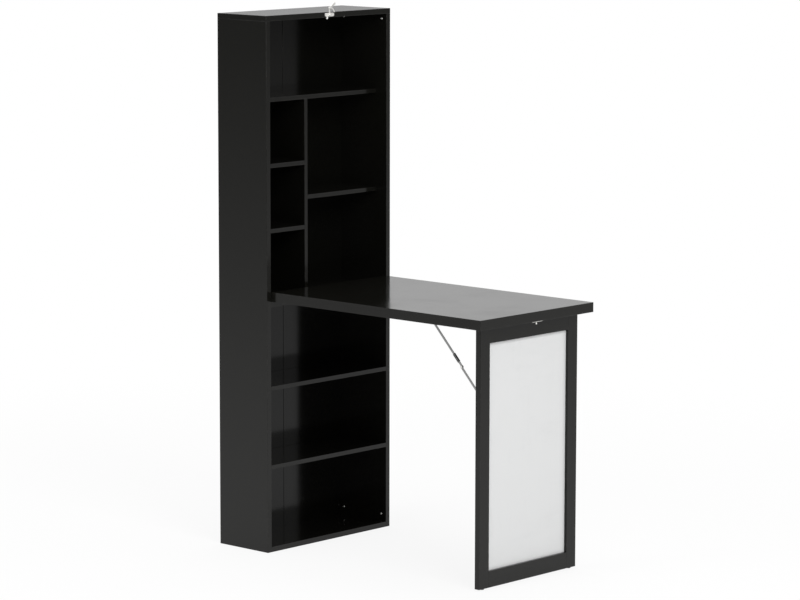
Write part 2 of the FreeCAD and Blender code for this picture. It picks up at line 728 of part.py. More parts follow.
def make_latch():
    centre = V(0, 0, 0)
    finger_inner = latch_throat_radius + latch_throat_half_width
    finger_outer = finger_inner + latch_finger_width
    stem_top = polar(finger_outer - latch_finger_width / 2, latch_stem_angle)
    tail = V(latch_tail_x, 0, latch_tail_z)
    faces = [flat_disc(centre, latch_hub_radius)]
    faces.append(flat_bar(centre, stem_top, latch_stem_width))
    faces.append(flat_bar(centre, tail, latch_tail_width))
    faces.append(flat_disc(tail, latch_tail_width / 2))
    faces += ring_sector(centre, finger_inner, finger_outer, latch_finger_end_angle, latch_stem_angle)
    thumb_root = polar(finger_outer - latch_finger_width / 2, latch_thumb_root_angle)
    thumb_tip = polar(latch_reach - latch_thumb_pad_radius, latch_thumb_angle)
    faces.append(flat_bar(thumb_root, thumb_tip, latch_thumb_width))
    faces.append(flat_disc(thumb_tip, latch_thumb_pad_radius))
    arm_back = front_y - latch_plate_thickness - latch_gap
    solids = [face.extrude(V(0, -latch_arm_thickness, 0)) for face in faces]
    hook = fused(solids)
    hook.translate(V(0, arm_back, latch_z))
    add("latch_hook", [hook])
    bore("latch_hook", rod(V(0, arm_back, latch_z), -AXIS_Y, latch_rivet_radius + pin_clearance,
                           latch_arm_thickness))
    make_latch_base(arm_back)
    make_knob(tail + V(0, arm_back - latch_arm_thickness, latch_z))


def make_latch_base(arm_back):
    half = latch_plate_width / 2
    low = latch_z - latch_plate_height / 2
    plate = box(-half, half, front_y - latch_plate_thickness, front_y, low, low + latch_plate_height)
    corners = [edge for edge in plate.Edges
               if abs(edge.Vertexes[0].X - edge.Vertexes[1].X) < edge_break
               and abs(edge.Vertexes[0].Z - edge.Vertexes[1].Z) < edge_break]
    add("latch_base_plate", [plate.makeFillet(latch_corner, corners)])
    rivet_end = arm_back - latch_arm_thickness - latch_gap / 2
    depth = front_y + dowel_in_face - rivet_end
    shank = rod(V(0, rivet_end, latch_z), AXIS_Y, latch_rivet_radius, depth)
    head = rod(V(0, rivet_end, latch_z), -AXIS_Y, latch_rivet_head, latch_rivet_head_height)
    rim = [edge for edge in head.Edges if edge.CenterOfMass.y < rivet_end - latch_rivet_head_height / 2
           and edge.Length > latch_rivet_head]
    head = head.makeFillet(latch_rivet_head_height * 2 / 3, rim)
    add("latch_pivot_rivet", [fused([head, shank])])
    hole = rod(V(0, rivet_end, latch_z), AXIS_Y, latch_rivet_radius + pin_clearance,
               depth + bore_end_clearance)
    bore("latch_base_plate", hole)
    bore("top_panel", hole)
    for side in (-1, 1):
        seat = V(side * (half - latch_screw_inset), front_y - latch_plate_thickness, latch_z)
        fasten("latch_screws", seat, AXIS_Y, latch_plate_thickness, ("latch_base_plate", "top_panel"))


def make_knob(seat):
    """A ball on the hook's tail, fixed by a spigot."""
    ball = Part.makeSphere(knob_radius, seat - AXIS_Y * (knob_radius - knob_sink))
    trim = box(seat.x - knob_radius, seat.x + knob_radius, seat.y, seat.y + knob_radius,
               seat.z - knob_radius, seat.z + knob_radius)
    ball = ball.cut(trim)
    spigot = rod(seat - AXIS_Y * knob_sink, AXIS_Y, knob_spigot_radius, knob_sink + latch_arm_thickness)
    add("latch_ball_knob", [fused([ball, spigot])])
    bore("latch_hook", rod(seat, AXIS_Y, knob_spigot_radius + bore_clearance, latch_arm_thickness))


make_carcass()
make_back()
make_panel_screws()
make_desktop()
make_leg()
make_hinges()
make_stays()
make_keeper()
make_latch()

os.makedirs("parts", exist_ok=True)
for name, solids in nodes.items():
    cutters = bores.get(name)
    finished = []
    for solid in solids:
        if cutters:
            solid = solid.cut(cutters)
        finished.extend(solid.Solids)
    shape = finished[0] if len(finished) == 1 else Part.makeCompound(finished)
    shape.exportStep("parts/" + name + ".step")
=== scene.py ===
import bpy
import bmesh
import math
from mathutils import Matrix, Vector


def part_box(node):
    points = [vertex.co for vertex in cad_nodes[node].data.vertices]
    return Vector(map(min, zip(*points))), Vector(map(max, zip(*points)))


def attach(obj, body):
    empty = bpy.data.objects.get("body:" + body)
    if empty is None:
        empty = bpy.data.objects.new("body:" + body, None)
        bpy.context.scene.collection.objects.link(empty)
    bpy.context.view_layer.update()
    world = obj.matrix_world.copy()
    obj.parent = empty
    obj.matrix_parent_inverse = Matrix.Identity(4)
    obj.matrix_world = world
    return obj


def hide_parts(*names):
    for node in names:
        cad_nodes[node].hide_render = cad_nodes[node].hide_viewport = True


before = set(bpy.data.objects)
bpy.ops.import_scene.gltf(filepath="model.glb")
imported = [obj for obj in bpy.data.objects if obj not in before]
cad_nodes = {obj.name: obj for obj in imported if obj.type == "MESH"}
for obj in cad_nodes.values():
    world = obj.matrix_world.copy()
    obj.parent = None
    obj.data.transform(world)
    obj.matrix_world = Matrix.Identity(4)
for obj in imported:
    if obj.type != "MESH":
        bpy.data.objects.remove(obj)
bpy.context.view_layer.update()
MM = 0.001


# Camera. It stands to the left of the desk's open front and looks a little down, with a
# long lens, so that the bookcase's uprights stay nearly parallel as in the photograph.
def link_new(name, data):
    """A new object in the scene around its data."""
    made = bpy.data.objects.new(name, data)
    bpy.context.scene.collection.objects.link(made)
    return made


photo_width_px = 800
focal_length_px = 3449.5
sensor_mm = 36.0
sight_end = 300.0
camera_place = (-6.9522, -6.7584, 2.0893)
turn_left = math.radians(-47.396)
tilt_down = math.radians(-8.274)
roll = math.radians(0.104)
camera_data = bpy.data.cameras.new("camera")
camera_data.sensor_width = sensor_mm
camera_data.lens = focal_length_px / photo_width_px * sensor_mm
camera_data.clip_end = sight_end
camera = link_new("camera", camera_data)
aim = Matrix.Rotation(turn_left, 4, "Z") @ Matrix.Rotation(math.pi / 2 + tilt_down, 4, "X")
camera.matrix_world = Matrix.Translation(camera_place) @ aim @ Matrix.Rotation(roll, 4, "Z")
bpy.context.scene.camera = camera
bpy.context.scene.view_settings.view_transform = "Standard"


# Studio. A wide pale floor that keeps the desk's soft shadow and darkens far away where only
# gloss sees it, a white surround, and three large soft lamps. The left lamp stays out of the
# gloss, where it would whiten the bookcase's top.
def put_node(tree, kind, sockets=(), **settings):
    """One shader or geometry node with its settings and its sockets' values or links."""
    made = tree.nodes.new(kind)
    for name, value in settings.items():
        setattr(made, name, value)
    for socket, value in dict(sockets).items():
        if isinstance(value, bpy.types.NodeSocket):
            tree.links.new(value, made.inputs[socket])
        else:
            made.inputs[socket].default_value = value
    return made


def figure(tree, operation, first, second, third=0.0, clamp=False):
    """A sum, product or other figure of two or three values."""
    made = put_node(tree, "ShaderNodeMath", {0: first, 1: second, 2: third}, operation=operation,
                    use_clamp=clamp)
    return made.outputs[0]


def ramp_value(tree, value, low, high, out_low=0.0, out_high=1.0):
    """A value carried smoothly from one span to another."""
    made = put_node(tree, "ShaderNodeMapRange", {"Value": value, "From Min": low, "From Max": high,
                                                 "To Min": out_low, "To Max": out_high},
                    interpolation_type="SMOOTHSTEP")
    return made.outputs["Result"]


def blend_colour(tree, share, first, second):
    """Two colours mixed by a share."""
    made = put_node(tree, "ShaderNodeMix", {0: share, 6: first, 7: second}, data_type="RGBA")
    return made.outputs[2]


def new_material(name):
    """An empty material and its node tree."""
    material = bpy.data.materials.new(name)
    material.use_nodes = True
    material.node_tree.nodes.clear()
    return material, material.node_tree


plain_white = (1.0, 1.0, 1.0, 1.0)
floor_half = 90.0
floor_drop = 0.3 * MM
floor_grey = (0.88, 0.88, 0.88, 1.0)
fall_power = 1.5
glow_in_gloss = 0.8
floor_corners = [(x * floor_half, y * floor_half, -floor_drop)
                 for x, y in ((-1, -1), (1, -1), (1, 1), (-1, 1))]
floor_mesh = bpy.data.meshes.new("studio_floor")
floor_mesh.from_pydata(floor_corners, [], [(0, 1, 2, 3)])
studio_floor = link_new("studio_floor", floor_mesh)

floor_white, floor_tree = new_material("studio_floor")
floor_place = put_node(floor_tree, "ShaderNodeTexCoord").outputs["Object"]
floor_distance = put_node(floor_tree, "ShaderNodeVectorMath", {0: floor_place},
                          operation="LENGTH").outputs["Value"]
floor_right = put_node(floor_tree, "ShaderNodeSeparateXYZ", {0: floor_place}).outputs["X"]
floor_reach = ramp_value(floor_tree, floor_right, low=0.0, high=4.0, out_low=9.0, out_high=12.0)
floor_fall = figure(floor_tree, "POWER", figure(floor_tree, "DIVIDE", floor_distance, floor_reach),
                    fall_power)
floor_far = figure(floor_tree, "DIVIDE", 1.0, figure(floor_tree, "ADD", floor_fall, 1.0))
floor_path = put_node(floor_tree, "ShaderNodeLightPath")
floor_open = ramp_value(floor_tree, floor_distance, low=0.5, high=3.0, out_low=0.88, out_high=1.0)
floor_seen = figure(floor_tree, "MAXIMUM", floor_path.outputs["Is Camera Ray"], floor_far)
floor_glow = put_node(floor_tree, "ShaderNodeEmission", {"Color": plain_white, "Strength": floor_seen})
floor_matt = put_node(floor_tree, "ShaderNodeBsdfDiffuse", {"Color": floor_grey})
floor_share = figure(floor_tree, "MAXIMUM",
                     figure(floor_tree, "MULTIPLY", floor_path.outputs["Is Camera Ray"], floor_open),
                     figure(floor_tree, "MULTIPLY", floor_path.outputs["Is Glossy Ray"], glow_in_gloss))
floor_mix = put_node(floor_tree, "ShaderNodeMixShader",
                     {0: floor_share, 1: floor_matt.outputs[0], 2: floor_glow.outputs[0]})
put_node(floor_tree, "ShaderNodeOutputMaterial", {"Surface": floor_mix.outputs[0]})
floor_mesh.materials.append(floor_white)

horizon_band = 0.174
horizon_tone = 0.15
surround_fill = 0.5
surround = bpy.data.worlds.new("studio_surround")
surround.use_nodes = True
bpy.context.scene.world = surround
surround_tree = surround.node_tree
surround_tree.nodes.clear()
surround_path = put_node(surround_tree, "ShaderNodeLightPath")
surround_way = put_node(surround_tree, "ShaderNodeSeparateXYZ",
                        {0: put_node(surround_tree, "ShaderNodeTexCoord").outputs["Generated"]})
surround_rise = put_node(surround_tree, "ShaderNodeMapRange",
                         {"Value": surround_way.outputs["Z"], "From Min": 0.0, "From Max": horizon_band,
                          "To Min": horizon_tone, "To Max": 1.0}).outputs["Result"]
surround_gloss = put_node(surround_tree, "ShaderNodeMix",
                          {0: surround_path.outputs["Is Glossy Ray"], 2: surround_fill,
                           3: surround_rise}).outputs[0]
surround_plain = figure(surround_tree, "MAXIMUM", surround_path.outputs["Is Camera Ray"],
                        surround_path.outputs["Is Transmission Ray"])
surround_level = put_node(surround_tree, "ShaderNodeMix",
                          {0: surround_plain, 2: surround_gloss, 3: 1.0}).outputs[0]
surround_glow = put_node(surround_tree, "ShaderNodeBackground",
                         {"Color": plain_white, "Strength": surround_level})
put_node(surround_tree, "ShaderNodeOutputWorld", {"Surface": surround_glow.outputs[0]})


def soft_lamp(name, place, target, width, watts):
    """A large square lamp that shines from a place to a target."""
    lamp = bpy.data.lights.new(name, "AREA")
    lamp.size = width
    lamp.energy = watts
    made = link_new(name, lamp)
    made.location = place
    made.rotation_euler = (Vector(target) - Vector(place)).to_track_quat("-Z", "Y").to_euler()
    return made


soft_lamp("front_lamp", place=(-1.6, -4.6, 3.8), target=(0.0, -0.4, 0.7), width=2.4, watts=142.0)
left_lamp = soft_lamp("left_lamp", place=(-4.0, 0.2, 3.0), target=(0.0, -0.2, 0.7), width=2.0, watts=45.0)
left_lamp.visible_glossy = False
soft_lamp("top_lamp", place=(0.6, 0.4, 4.4), target=(0.0, -0.3, 0.8), width=2.6, watts=60.0)


# Black laminate. Chipboard faced with smooth glossy black foil; its cut edges carry a thin
# band of black plastic, ironed on and rounded over. Dust and wiping show on the gloss.
def new_group(name, inputs, outputs):
    """A node group with named inputs, given with their starting values, and named outputs."""
    tree = bpy.data.node_groups.new(name, "ShaderNodeTree")
    for label, value in inputs:
        kind = "NodeSocketColor" if isinstance(value, tuple) else "NodeSocketFloat"
        made = tree.interface.new_socket(name=label, in_out="INPUT", socket_type=kind)
        made.default_value = value
    for label, kind in outputs:
        tree.interface.new_socket(name=label, in_out="OUTPUT", socket_type=kind)
    return tree, put_node(tree, "NodeGroupInput").outputs, put_node(tree, "NodeGroupOutput")


def noise(tree, vector, scale, detail=2.0, roughness=0.5):
    """Soft noise about 0.5 over a surface; the scale is waves to the metre."""
    made = put_node(tree, "ShaderNodeTexNoise", {"Vector": vector, "Scale": scale, "Detail": detail,
                                                 "Roughness": roughness})
    return made.outputs[0]


def stretched(tree, vector, amounts):
    """Coordinates pulled along an axis, for grain, wiping and brushing."""
    return put_node(tree, "ShaderNodeMapping", {"Vector": vector, "Scale": amounts}).outputs[0]


worn_edge_colour = (0.42, 0.41, 0.4, 1.0)
worn_edge_tint = 0.12
worn_edge_roughness = 0.3
dust_roughness = 4.0
speck_share = 2.0
wipe_share = 0.4
surface_use, use_in, use_out = new_group(
    "surface_use",
    (("Colour", (0.02, 0.02, 0.02, 1.0)), ("Dust Colour", (0.5, 0.48, 0.45, 1.0)), ("Roughness", 0.12),
     ("Smudge", 0.06), ("Smudge Scale", 7.0), ("Dust", 0.01), ("Edge Wear", 0.35)),
    (("Colour", "NodeSocketColor"), ("Roughness", "NodeSocketFloat"), ("Edge Mask", "NodeSocketFloat")))
use_sources = put_node(surface_use, "ShaderNodeTexCoord").outputs
use_place = use_sources["Object"]
use_smudge = noise(surface_use, use_place, use_in["Smudge Scale"], detail=6.0, roughness=0.6)
use_smudge = ramp_value(surface_use, use_smudge, low=0.42, high=0.72)
use_wipe = noise(surface_use, stretched(surface_use, use_place, (1.0, 7.0, 7.0)), scale=24.0, detail=3.0)
use_wipe = ramp_value(surface_use, use_wipe, low=0.5, high=0.75)
use_marks = figure(surface_use, "MULTIPLY_ADD", use_wipe, wipe_share, use_smudge)
use_rough = figure(surface_use, "MULTIPLY_ADD", use_marks, use_in["Smudge"], use_in["Roughness"])
use_normal = put_node(surface_use, "ShaderNodeSeparateXYZ", {0: use_sources["Normal"]})
use_level = ramp_value(surface_use, use_normal.outputs["Z"], low=0.7, high=0.98)
use_specks = noise(surface_use, use_place, scale=900.0, detail=1.0)
use_specks = ramp_value(surface_use, use_specks, low=0.62, high=0.7)
use_film = noise(surface_use, use_place, scale=11.0, detail=4.0)
use_dust = figure(surface_use, "MULTIPLY",
                  figure(surface_use, "MULTIPLY_ADD", use_specks, speck_share, use_film),
                  figure(surface_use, "MULTIPLY", use_level, use_in["Dust"]))
use_rub = noise(surface_use, use_place, scale=95.0, detail=4.0, roughness=0.65)
use_rub = ramp_value(surface_use, use_rub, low=0.46, high=0.68)
use_edge = put_node(surface_use, "ShaderNodeAttribute", attribute_name="edge_wear").outputs["Fac"]
use_edge = figure(surface_use, "MULTIPLY", use_edge, use_rub)
use_edge = figure(surface_use, "MULTIPLY", use_edge, use_in["Edge Wear"], clamp=True)
use_tone = blend_colour(surface_use, use_dust, use_in["Colour"], use_in["Dust Colour"])
use_tone = blend_colour(surface_use, figure(surface_use, "MULTIPLY", use_edge, worn_edge_tint), use_tone,
                        worn_edge_colour)
use_rough = figure(surface_use, "MULTIPLY_ADD", use_edge, worn_edge_roughness, use_rough)
use_rough = figure(surface_use, "MULTIPLY_ADD", use_dust, dust_roughness, use_rough)
surface_use.links.new(use_tone, use_out.inputs["Colour"])
surface_use.links.new(use_rough, use_out.inputs["Roughness"])
surface_use.links.new(use_edge, use_out.inputs["Edge Mask"])


def used_surface(tree, values):
    """The group for use and dust, placed in a material with that material's own values."""
    made = put_node(tree, "ShaderNodeGroup", node_tree=surface_use)
    for label, value in values.items():
        made.inputs[label].default_value = value
    return made.outputs


def object_place(tree):
    """A point's own place on the part, in metres."""
    return put_node(tree, "ShaderNodeTexCoord").outputs["Object"]


def finish_material(tree, shader, height, strength, distance):
    """A fine relief into the shader, and the shader to the surface."""
    bump = put_node(tree, "ShaderNodeBump", {"Height": height, "Strength": strength, "Distance": distance})
    tree.links.new(bump.outputs[0], shader.inputs["Normal"])
    put_node(tree, "ShaderNodeOutputMaterial", {"Surface": shader.outputs[0]})


gloss_ior = 1.37
black_laminate, laminate_tree = new_material("black_laminate")
laminate = used_surface(laminate_tree, {"Colour": (0.0056, 0.0055, 0.0044, 1.0), "Roughness": 0.1,
                                        "Smudge": 0.05, "Smudge Scale": 5.0, "Dust": 0.003,
                                        "Edge Wear": 0.12})
laminate_peel = noise(laminate_tree, object_place(laminate_tree), scale=260.0)
laminate_shader = put_node(laminate_tree, "ShaderNodeBsdfPrincipled",
                           {"Base Color": laminate["Colour"], "Roughness": laminate["Roughness"],
                            "IOR": gloss_ior})
finish_material(laminate_tree, laminate_shader, laminate_peel, strength=0.05, distance=0.4 * MM)

edge_band, band_tree = new_material("black_edge_band")
band = used_surface(band_tree, {"Colour": (0.006, 0.0059, 0.0048, 1.0), "Roughness": 0.13,
                                "Smudge": 0.07, "Smudge Scale": 12.0, "Dust": 0.004, "Edge Wear": 0.2})
band_grain = stretched(band_tree, object_place(band_tree), (1.0, 1.0, 0.06))
band_streaks = noise(band_tree, band_grain, scale=900.0)
band_shader = put_node(band_tree, "ShaderNodeBsdfPrincipled",
                       {"Base Color": band["Colour"], "Roughness": band["Roughness"], "IOR": gloss_ior})
finish_material(band_tree, band_shader, band_streaks, strength=0.08, distance=0.3 * MM)


# Boards. Each is a core with a rounded plastic band on the edges that show; a hairline seam
# runs where the band meets the face.
band_thickness = 1.0 * MM
glue_line = 0.01 * MM
board_round = 0.55 * MM
seam_round = 0.12 * MM
same_plane = 0.001 * MM
rub_ring = 3.0 * MM
rub_ring_share = 0.3
SIDES = {"-x": (0, 0), "+x": (0, 1), "-y": (1, 0), "+y": (1, 1), "-z": (2, 0), "+z": (2, 1)}
OPPOSITE = {"-x": "+x", "+x": "-x", "-y": "+y", "+y": "-y", "-z": "+z", "+z": "-z"}


def banded_blocks(low, high, bands):
    """The core and its bands as (low, high, sides with a seam, material index)."""
    core = [list(low), list(high)]
    for side in bands:
        axis, end = SIDES[side]
        inward = 1 - 2 * end
        core[end][axis] += band_thickness * inward
    blocks = [(core[0], core[1], set(bands), 0)]
    done = []
    for side in bands:
        axis, end = SIDES[side]
        inward = 1 - 2 * end
        strip = [list(low), list(high)]
        strip[1 - end][axis] = core[end][axis] - glue_line * inward
        seams = {OPPOSITE[side]}
        for other in done:
            other_axis, other_end = SIDES[other]
            if other_axis != axis:
                strip[other_end][other_axis] = core[other_end][other_axis]
                seams.add(other)
        blocks.append((strip[0], strip[1], seams, 1))
        done.append(side)
    return blocks


def finished_mesh(source, name):
    """The mesh that an object's modifiers make, under its own name; the object itself goes."""
    evaluated = source.evaluated_get(bpy.context.evaluated_depsgraph_get())
    mesh = bpy.data.meshes.new_from_object(evaluated)
    mesh.name = name
    start = source.data
    source.modifiers.clear()
    bpy.data.objects.remove(source)
    bpy.data.meshes.remove(start)
    return mesh


def block_object(name, blocks, materials):
    """Closed blocks in one mesh, their outer edges rounded and their seams barely broken."""
    shape = bmesh.new()
    weight = shape.edges.layers.float.new("bevel_weight_edge")
    for low, high, seams, index in blocks:
        centre = (Vector(low) + Vector(high)) / 2
        size = Vector(high) - Vector(low)
        made = bmesh.ops.create_cube(shape, size=1.0, matrix=Matrix.Translation(centre)
                                     @ Matrix.Diagonal(size).to_4x4())
        for vert in made["verts"]:
            for face in vert.link_faces:
                face.material_index = index
        corners = (low, high)
        seam_ends = [SIDES[side] for side in seams]
        for edge in {edge for vert in made["verts"] for edge in vert.link_edges}:
            middle = (edge.verts[0].co + edge.verts[1].co) / 2
            seamed = any(abs(middle[axis] - corners[end][axis]) < same_plane for axis, end in seam_ends)
            edge[weight] = seam_round / board_round if seamed else 1.0
    mesh = bpy.data.meshes.new(name + "_blocks")
    shape.to_mesh(mesh)
    shape.free()
    for material in materials:
        mesh.materials.append(material)
    blocky = link_new(name, mesh)
    rounding = blocky.modifiers.new("rounding", "BEVEL")
    rounding.limit_method = "WEIGHT"
    rounding.width = board_round
    rounding.segments = 3
    rounding.use_clamp_overlap = False
    return ring_faces(name, finished_mesh(blocky, name))


def shortest_edge(face):
    """The length of a face's shortest edge."""
    return min(edge.calc_length() for edge in face.edges)


def ring_faces(name, mesh):
    """Marks the rounded edges for wear and fades the mark over a narrow ring of each face."""
    shape = bmesh.new()
    shape.from_mesh(mesh)
    wear = shape.verts.layers.float.new("edge_wear")
    for vert in shape.verts:
        vert[wear] = 1.0
    for face in [face for face in shape.faces if shortest_edge(face) > 2 * board_round]:
        ring = min(rub_ring, shortest_edge(face) * rub_ring_share)
        bmesh.ops.inset_individual(shape, faces=[face], thickness=ring, use_even_offset=True)
        for vert in face.verts:
            vert[wear] = 0.0
    flat_area = (2 * board_round) ** 2
    for face in shape.faces:
        face.smooth = face.calc_area() < flat_area or shortest_edge(face) < board_round
    shape.normal_update()
    mesh.clear_geometry()
    shape.to_mesh(mesh)
    shape.free()
    return link_new(name, mesh)


def dress(piece, body, node):
    """Puts a finished piece on its body, in place of its CAD node."""
    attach(piece, body)
    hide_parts(node)


def board(name, node, body, bands):
    """A banded board in the place of its CAD node."""
    low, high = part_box(node)
    made = block_object(name, banded_blocks(low, high, bands), (black_laminate, edge_band))
    dress(made, body, node)


# Bookcase. Two sides under a full-width top, with every other board doweled between the sides.
# The front edges are banded, and so are the outer boards' other cut edges that show.
board("left_side", "left_side_panel", "cabinet", ("-y", "+y", "-z"))
board("right_side", "right_side_panel", "cabinet", ("-y", "+y", "-z"))
board("top_board", "top_panel", "cabinet", ("-y", "+y", "-x", "+x"))
board("bottom_board", "bottom_panel", "cabinet", ("-y", "+y"))
for piece_name, node_name in (("desk_height_board", "fixed_desk_board"), ("wide_shelf", "full_width_shelf"),
                              ("left_small_shelf_upper", "left_shelf_upper"),
                              ("left_small_shelf_lower", "left_shelf_lower"),
                              ("right_wide_shelf", "right_shelf"),
                              ("under_shelf_upper", "lower_shelf_upper"),
                              ("under_shelf_lower", "lower_shelf_lower"), ("upright_divider", "divider")):
    board(piece_name, node_name, "cabinet", ("-y",))

# Desktop. A thicker board of the same laminate, banded all round. It hangs on three butt
# hinges in front of the board at desk height.
board("desk_board", "desktop", "desk", ("-y", "+y", "-x", "+x"))

# Leg frame. Two stiles with the rails doweled between them, of the same laminate, banded on
# their outer edges. It hangs on two butt hinges under the desktop's far end.
board("left_stile", "leg_left_stile", "leg", ("-x", "-z", "+z"))
board("right_stile", "leg_right_stile", "leg", ("+x", "-z", "+z"))
board("top_rail", "leg_top_rail", "leg", ("+z",))
board("bottom_rail", "leg_bottom_rail", "leg", ("-z",))

# Back of the bookcase. Two thin sheets of hardboard faced with black foil, slid into grooves
# in the boards, meet in a narrow H-strip of the same gloss at mid width.
weld_reach = 0.002 * MM
same_face_turn = math.radians(0.6)
curve_least_turn = math.radians(1.0)
curve_most_turn = math.radians(32.0)
sharp_turn = math.radians(38.0)


def paint(material, *names):
    """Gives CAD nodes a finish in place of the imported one."""
    for name in names:
        mesh = cad_nodes[name].data
        mesh.materials.clear()
        mesh.materials.append(material)


def merged_copy(node):
    """The CAD node's shape in a bmesh of its own, joined up, its flat faces in one piece each."""
    shape = bmesh.new()
    shape.from_mesh(cad_nodes[node].data)
    bmesh.ops.remove_doubles(shape, verts=shape.verts, dist=weld_reach)
    bmesh.ops.dissolve_limit(shape, angle_limit=same_face_turn, verts=shape.verts, edges=shape.edges)
    return shape


def object_from(name, shape, material):
    """A new object at the origin from a bmesh, with one finish."""
    mesh = bpy.data.meshes.new(name)
    shape.to_mesh(mesh)
    shape.free()
    mesh.materials.append(material)
    return link_new(name, mesh)


def softened(name, node, body, material, width, segments=2):
    """The CAD node's own shape with every sharp edge rounded over, for pressed and moulded pieces."""
    shape = merged_copy(node)
    for face in shape.faces:
        turns = [edge.calc_face_angle(0.0) for edge in face.edges]
        face.smooth = any(curve_least_turn < turn < curve_most_turn for turn in turns)
    sharp = object_from(name + "_sharp", shape, material)
    rounding = sharp.modifiers.new("rounding", "BEVEL")
    rounding.limit_method = "ANGLE"
    rounding.angle_limit = sharp_turn
    rounding.width = width
    rounding.segments = segments
    rounding.use_clamp_overlap = False
    mesh = finished_mesh(sharp, name)
    for face in mesh.polygons:
        corners = [mesh.vertices[index].co for index in face.vertices]
        sides = [(corner - corners[index - 1]).length for index, corner in enumerate(corners)]
        if len(sides) <= 4 and min(sides) < width:
            face.use_smooth = True
    made = link_new(name, mesh)
    dress(made, body, node)
    return made


back_sheet, back_tree = new_material("black_back_sheet")
back = used_surface(back_tree, {"Colour": (0.0033, 0.0033, 0.0026, 1.0), "Roughness": 0.12, "Smudge": 0.05,
                                "Smudge Scale": 4.0, "Dust": 0.0, "Edge Wear": 0.0})
back_peel = noise(back_tree, object_place(back_tree), scale=180.0, detail=3.0)
back_shader = put_node(back_tree, "ShaderNodeBsdfPrincipled",
                       {"Base Color": back["Colour"], "Roughness": back["Roughness"], "IOR": 1.33})
finish_material(back_tree, back_shader, back_peel, strength=0.06, distance=0.4 * MM)
paint(back_sheet, "back_panel_left", "back_panel_right")
softened("back_strip", "back_joint_strip", "cabinet", back_sheet, width=0.3 * MM)

# Whiteboard. A panel with a hard glossy white film, held in the leg frame's groove before a
# black backing sheet. It has been wiped often, so faint grey smears stay in the film.
wipe_grey = (0.42, 0.43, 0.45, 1.0)
white_film, film_tree = new_material("white_board_film")
film_place = object_place(film_tree)
film_ghost = noise(film_tree, stretched(film_tree, film_place, (1.0, 1.0, 3.0)), scale=9.0, detail=5.0,
                   roughness=0.6)
film_wipe = noise(film_tree, stretched(film_tree, film_place, (4.0, 1.0, 0.7)), scale=14.0, detail=4.0,
                  roughness=0.6)
film = used_surface(film_tree, {"Colour": (0.725, 0.73, 0.73, 1.0), "Roughness": 0.12, "Smudge": 0.1,
                                "Smudge Scale": 9.0, "Dust": 0.0, "Edge Wear": 0.0})
film_marks = figure(film_tree, "ADD", ramp_value(film_tree, film_ghost, low=0.5, high=0.8, out_high=0.07),
                    ramp_value(film_tree, film_wipe, low=0.55, high=0.8, out_high=0.05))
film_tone = blend_colour(film_tree, film_marks, film["Colour"], wipe_grey)
film_shader = put_node(film_tree, "ShaderNodeBsdfPrincipled",
                       {"Base Color": film_tone, "Roughness": film["Roughness"], "IOR": 1.45})
film_peel = noise(film_tree, film_place, scale=140.0)
finish_material(film_tree, film_shader, film_peel, strength=0.04, distance=0.4 * MM)
paint(white_film, "whiteboard_face")
paint(back_sheet, "whiteboard_backer")

# Screws. Cross-head wood screws of plated steel: countersunk ones in the hinges, brackets,
# keeper and latch, and larger domed ones inside the sides. Each stopped at its own turn.
brush_roughness = 0.12
crease_turn = math.radians(35.0)
cross_taper = 0.6
thread_crest_share = 0.4
thread_foot_share = 0.8
head_end_share = 0.08


def metal(name, colour, roughness, brushing, streaks):
    """Plated or brushed metal with streaks of brushing, rubbed edges and finger marks."""
    material, tree = new_material(name)
    marks = used_surface(tree, {"Colour": colour, "Roughness": roughness, "Smudge": 0.1,
                                "Smudge Scale": 80.0, "Dust": 0.01, "Edge Wear": 0.2})
    brushed = noise(tree, stretched(tree, object_place(tree), brushing), streaks, detail=3.0, roughness=0.6)
    rough = figure(tree, "MULTIPLY_ADD", brushed, brush_roughness, marks["Roughness"])
    shader = put_node(tree, "ShaderNodeBsdfPrincipled",
                      {"Base Color": marks["Colour"], "Metallic": 1.0, "Roughness": rough})
    finish_material(tree, shader, brushed, strength=0.12, distance=0.2 * MM)
    return material


def in_mm(*points):
    """Points of a turned profile, given in millimetres as (radius, height)."""
    return [(radius * MM, height * MM) for radius, height in points]


def rings_of(shape, profile, around, flute=0.0, flutes=0):
    """Rings of points about Z for a profile of (radius, height), skinned from the first to the last."""
    rings = []
    for radius, height in profile:
        if radius <= 0.0:
            rings.append([shape.verts.new((0.0, 0.0, height))])
            continue
        ring = []
        for index in range(around):
            turn = 2 * math.pi * index / around
            reach = radius - flute * (0.5 + 0.5 * math.cos(flutes * turn))
            ring.append(shape.verts.new((reach * math.cos(turn), reach * math.sin(turn), height)))
        rings.append(ring)
    for first, last in zip(rings, rings[1:]):
        for index in range(around):
            after = (index + 1) % around
            if len(first) == 1:
                shape.faces.new((first[0], last[index], last[after]))
            elif len(last) == 1:
                shape.faces.new((first[index], last[0], first[after]))
            else:
                shape.faces.new((first[index], last[index], last[after], first[after]))
    return rings


def pattern_piece(name, shape):
    """One finished pattern, its faces outward, smooth between its creases."""
    bmesh.ops.recalc_face_normals(shape, faces=shape.faces)
    for face in shape.faces:
        face.smooth = True
    made = object_from(name, shape, bright_nickel)
    made.data.set_sharp_from_angle(angle=crease_turn)
    return made


def turned_pattern(name, profile, around=24, flute=0.0, flutes=0):
    """A lathe-turned pattern that starts at its head and runs down the Z axis."""
    shape = bmesh.new()
    rings = rings_of(shape, profile, around, flute, flutes)
    for ring in (rings[0], rings[-1]):
        if len(ring) > 1:
            shape.faces.new(ring)
    return pattern_piece(name, shape)


def thread(radius, top, bottom, pitch, depth):
    """The profile of a thread between two heights."""
    points = []
    count = int((top - bottom) / pitch)
    for index in range(count):
        height = top - index * pitch
        points += [(radius, height), (radius + depth, height - pitch * thread_crest_share),
                   (radius, height - pitch * thread_foot_share)]
    return points


